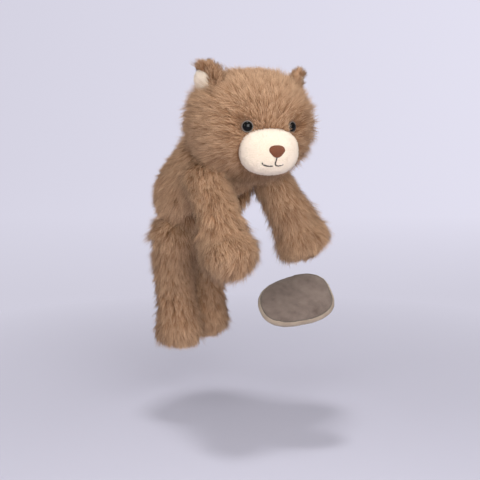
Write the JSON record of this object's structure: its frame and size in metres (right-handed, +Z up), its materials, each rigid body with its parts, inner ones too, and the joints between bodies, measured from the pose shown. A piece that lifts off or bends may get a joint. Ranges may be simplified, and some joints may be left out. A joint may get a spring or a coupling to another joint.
{
  "type": "teddy bear with a removable warming pad",
  "caption": "Long-haired plush bear with a turning head, swinging limbs and a seed-filled pad for its belly pocket.",
  "frame": {"origin": "the point on the middle of the torso's back by which the bear is held up", "axes": "+Z up, +X to the bear's left, -Y the way its belly and its paws point"},
  "size_m": [0.1624, 0.2009, 0.2866],
  "materials": {
    "plush": "matte",
    "cream_plush": "matte",
    "stuffing": "matte",
    "lining": "matte",
    "hook_tape": "matte",
    "loop_tape": "matte",
    "eye": "gloss",
    "washer": "satin",
    "nose_thread": "satin",
    "mouth_thread": "matte",
    "pad_velour": "matte",
    "band_velour": "matte",
    "seeds": "matte"
  },
  "bodies": {
    "torso": {"torso_cover": "plush", "torso_stuffing": "stuffing", "pocket_lining": "lining", "hook_tape": "hook_tape", "loop_tape": "loop_tape"},
    "head": {"head_cover": "plush", "head_stuffing": "stuffing", "muzzle_cover": "cream_plush", "muzzle_stuffing": "stuffing", "nose": "nose_thread", "mouth_stitching": "mouth_thread", "eye_right": "eye", "eye_left": "eye", "eye_washer_right": "washer", "eye_washer_left": "washer", "ear_right": "plush", "ear_left": "plush", "ear_lining_right": "cream_plush", "ear_lining_left": "cream_plush"},
    "arm_right": {"arm_right_cover": "plush", "arm_right_stuffing": "stuffing"},
    "arm_left": {"arm_left_cover": "plush", "arm_left_stuffing": "stuffing"},
    "leg_right": {"leg_right_cover": "plush", "leg_right_stuffing": "stuffing"},
    "leg_left": {"leg_left_cover": "plush", "leg_left_stuffing": "stuffing"},
    "pad": {"pad_top_cover": "pad_velour", "pad_side_band": "band_velour", "pad_bottom_cover": "pad_velour", "pad_filling": "seeds"}
  },
  "joints": [
    {"name": "head_turn", "type": "hinge", "parent": "torso", "child": "head", "pos_m": [0, -0.07696, 0.03004], "axis": [0, 0, 1], "range_deg": [-36.5, 83.5]},
    {"name": "arm_right_swing", "type": "hinge", "parent": "torso", "child": "arm_right", "pos_m": [-0.043, -0.05996, -0.02196], "axis": [-1, 0, 0], "range_deg": [-10, 45]},
    {"name": "arm_left_swing", "type": "hinge", "parent": "torso", "child": "arm_left", "pos_m": [0.043, -0.05996, -0.02196], "axis": [-1, 0, 0], "range_deg": [-10, 45]},
    {"name": "leg_right_swing", "type": "hinge", "parent": "torso", "child": "leg_right", "pos_m": [-0.025, 0.00204, -0.08646], "axis": [-1, 0, 0], "range_deg": [-45, 35]},
    {"name": "leg_left_swing", "type": "hinge", "parent": "torso", "child": "leg_left", "pos_m": [0.025, 0.00204, -0.08646], "axis": [-1, 0, 0], "range_deg": [-45, 35]},
    {"name": "pad_slide", "type": "slide", "parent": "torso", "child": "pad", "axis": [-0.0095, 0.7202, 0.6937], "range_m": [0, 0.158]}
  ]
}
